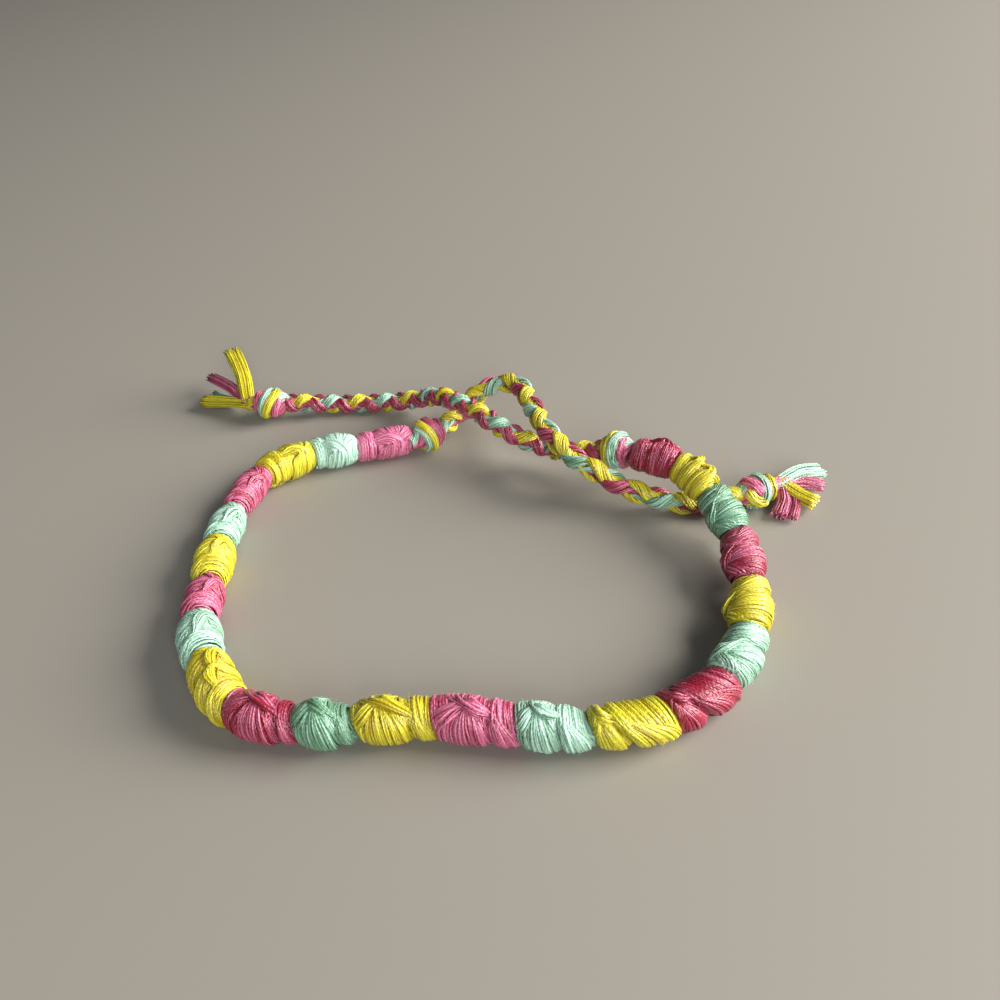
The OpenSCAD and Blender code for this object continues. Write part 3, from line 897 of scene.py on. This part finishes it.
def knot_core(weave, row, rng):
    """Strands that wind from end to end of a knot, under its bands."""
    middle, _, _, length, width, height = row
    way = knot_way(row)
    out, up = across(way)
    steps = CORE_STEPS_A_STOP * len(KNOT_CORE)
    at = along(KNOT_CORE, np.linspace(0, len(KNOT_CORE) - 1, steps))
    for k, colour in enumerate(CORE_COLOURS):
        spread = np.linspace(-0.5, 0.5, CORE_PLIES)[:, None] * 360 / len(CORE_COLOURS)
        angle = 360 * k / len(CORE_COLOURS) + spread + CORE_TURN * at[:, 0]
        angle = np.radians(angle + wander(rng, "core_round", CORE_PLIES, steps))[..., None]
        r = (at[:, 1] + wander(rng, "core_out", CORE_PLIES, steps))[..., None] / 2
        radial = width * np.cos(angle) * out + height * np.sin(angle) * up
        paths = np.array(middle) + length / 2 * at[:, :1] * way + r * radial
        weave.add_threads(paths, unit(radial), PLY_R, colour, rng.uniform(0, 1, CORE_PLIES))


def knot(name, rng):
    """A knot: the strands under it, and the bands of floss that show."""
    row = KNOTS[name]
    weave = Weave()
    knot_core(weave, row, rng)
    for layer, (colour, width, stops) in enumerate(KNOT_BANDS[name]):
        steps = KNOT_BAND_STEPS * len(stops)
        u = np.linspace(0, len(stops) - 1, steps)
        polar, round_it = along(stops, u).T
        ends = np.clip(1 - np.minimum(u, len(stops) - 1 - u) / KNOT_BAND_END, 0, 1) ** 2
        raised = KNOT_BAND_H + KNOT_BAND_OVER * (layer % 2) - KNOT_BAND_DIVE * ends
        centre, normal = knot_point(row, polar, round_it, raised)
        side = unit(np.cross(np.gradient(centre, axis=0), normal))
        for lower, step in KNOT_LAYERS:
            plies = round(width / step)
            offset = np.linspace(-0.5, 0.5, plies)[:, None] * (width - 2 * PLY_R)
            offset = offset * (1 - KNOT_BAND_TAPER * ends)
            offset = offset + wander(rng, "knot_across", plies, steps)
            sag = KNOT_BAND_SAG * np.abs(2 * offset / width) ** KNOT_BAND_SQUARE + lower
            sag = sag + wander(rng, "knot_out", plies, steps)
            paths = centre + offset[..., None] * side - sag[..., None] * normal
            normals = np.broadcast_to(normal, paths.shape)
            weave.add_threads(paths, normals, PLY_R, colour, rng.uniform(0, 1, plies))
    weave.build(name)


def tassel(name, rng):
    """The locks of cut ends that leave a tip knot."""
    knot_name, locks = TASSELS[name]
    way = knot_way(KNOTS[knot_name])
    root = np.array(knot_end(knot_name, 1))
    weave = Weave()
    for colour, middle, tip, root_w, tip_w in locks:
        line = np.array([root - LOCK_ROOT * way, root + LOCK_THROAT * way, middle, tip])
        last = len(line) - 1
        reach = rng.uniform(LOCK_SHORTEST, 1, LOCK_PLIES)[:, None]
        u = np.linspace(0, 1, LOCK_STEPS) * last * reach
        h = heading(line, u)
        out, up = across(h)
        angle = rng.uniform(0, 2 * math.pi, LOCK_PLIES)[:, None]
        spot = np.sqrt(rng.uniform(0, 1, LOCK_PLIES))[:, None]
        full = np.clip(LOCK_GATHER + (1 - LOCK_GATHER) * u, 0, 1)
        opened = root_w + (tip_w - root_w) * (u / last) ** LOCK_OPENS
        width = full * LOCK_W * opened - 2 * PLY_R
        thick = full * LOCK_T - 2 * PLY_R
        across_w = width / 2 * spot * np.cos(angle)
        across_w = across_w + wander(rng, "lock_across", LOCK_PLIES, LOCK_STEPS)
        across_t = thick / 2 * spot * np.sin(angle)
        across_t = across_t + wander(rng, "lock_out", LOCK_PLIES, LOCK_STEPS)
        paths = along(line, u) + across_w[..., None] * out + across_t[..., None] * up
        normals = np.broadcast_to(up, paths.shape)
        weave.add_threads(paths, normals, LOCK_PLY_R, colour, rng.uniform(0, 1, LOCK_PLIES))
    weave.build(name)


def area_light(name, place, size, energy, colour):
    """A square light that faces the bracelet."""
    aim = Vector(LIT_POINT) - Vector(place)
    light = bpy.data.lights.new(name, "AREA")
    light.size, light.energy, light.color = size, energy, colour
    lamp = bpy.data.objects.new(name, light)
    lamp.location = place
    lamp.rotation_euler = aim.to_track_quat("-Z", "Y").to_euler()
    bpy.context.scene.collection.objects.link(lamp)


def studio():
    """Soft light from all round, a window, a weak light from the room, and the floor."""
    world = bpy.data.worlds.new("studio")
    bpy.context.scene.world = world
    world.use_nodes = True
    sky = world.node_tree.nodes["Background"]
    sky.inputs["Color"].default_value = SKY_COLOUR
    sky.inputs["Strength"].default_value = SKY_STRENGTH
    for row in LIGHTS:
        area_light(*row)

    mesh = bpy.data.meshes.new("floor")
    signs = ((-1, -1), (1, -1), (1, 1), (-1, 1))
    corners = [(x * FLOOR_REACH, y * FLOOR_REACH, 0) for x, y in signs]
    mesh.from_pydata(corners, [], [(0, 1, 2, 3)])
    floor = bpy.data.objects.new("floor", mesh)
    bpy.context.scene.collection.objects.link(floor)
    paint = bpy.data.materials.new("floor")
    paint.use_nodes = True
    shader = paint.node_tree.nodes["Principled BSDF"]
    shader.inputs["Base Color"].default_value = FLOOR_COLOUR
    shader.inputs["Roughness"].default_value = FLOOR_ROUGHNESS
    mesh.materials.append(paint)


def camera():
    """The photograph's camera, 78 mm above the table."""
    pitch, roll = math.radians(PITCH), math.radians(ROLL)
    cam = bpy.data.cameras.new("camera")
    cam.lens, cam.sensor_width = LENS, SENSOR
    cam.clip_start, cam.clip_end = CLIP
    eye = bpy.data.objects.new("camera", cam)
    bpy.context.scene.collection.objects.link(eye)
    ahead = Vector((0, math.cos(pitch), -math.sin(pitch)))
    upward = Vector((0, math.sin(pitch), math.cos(pitch)))
    right = Vector((1, 0, 0))
    across_x = math.cos(roll) * right + math.sin(roll) * upward
    across_y = -math.sin(roll) * right + math.cos(roll) * upward
    turn = Matrix((across_x, across_y, -ahead)).transposed().to_4x4()
    eye.matrix_world = Matrix.Translation(EYE) @ turn
    bpy.context.scene.camera = eye


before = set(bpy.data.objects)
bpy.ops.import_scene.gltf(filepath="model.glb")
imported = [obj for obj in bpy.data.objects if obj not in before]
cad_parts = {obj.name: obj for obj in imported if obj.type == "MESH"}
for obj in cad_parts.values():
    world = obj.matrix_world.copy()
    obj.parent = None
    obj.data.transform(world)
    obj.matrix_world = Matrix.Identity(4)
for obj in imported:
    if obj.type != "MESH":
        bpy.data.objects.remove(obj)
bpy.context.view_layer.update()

BAND = band_line()
LENGTHS = np.linalg.norm(np.diff(BAND, axis=0), axis=1)
MATERIALS = {name: floss(name + "_floss", *colours) for name, colours in COLOURS.items()}
for number in range(len(SECTIONS)):
    section(number, np.random.default_rng(100 + number))
for number, row in enumerate(STRANDS):
    strand(row, np.random.default_rng(200 + number))
for number, name in enumerate(KNOTS):
    knot(name, np.random.default_rng(300 + number))
for number, name in enumerate(TASSELS):
    tassel(name, np.random.default_rng(400 + number))
camera()
studio()

scene = bpy.context.scene
scene.view_settings.view_transform = "Standard"
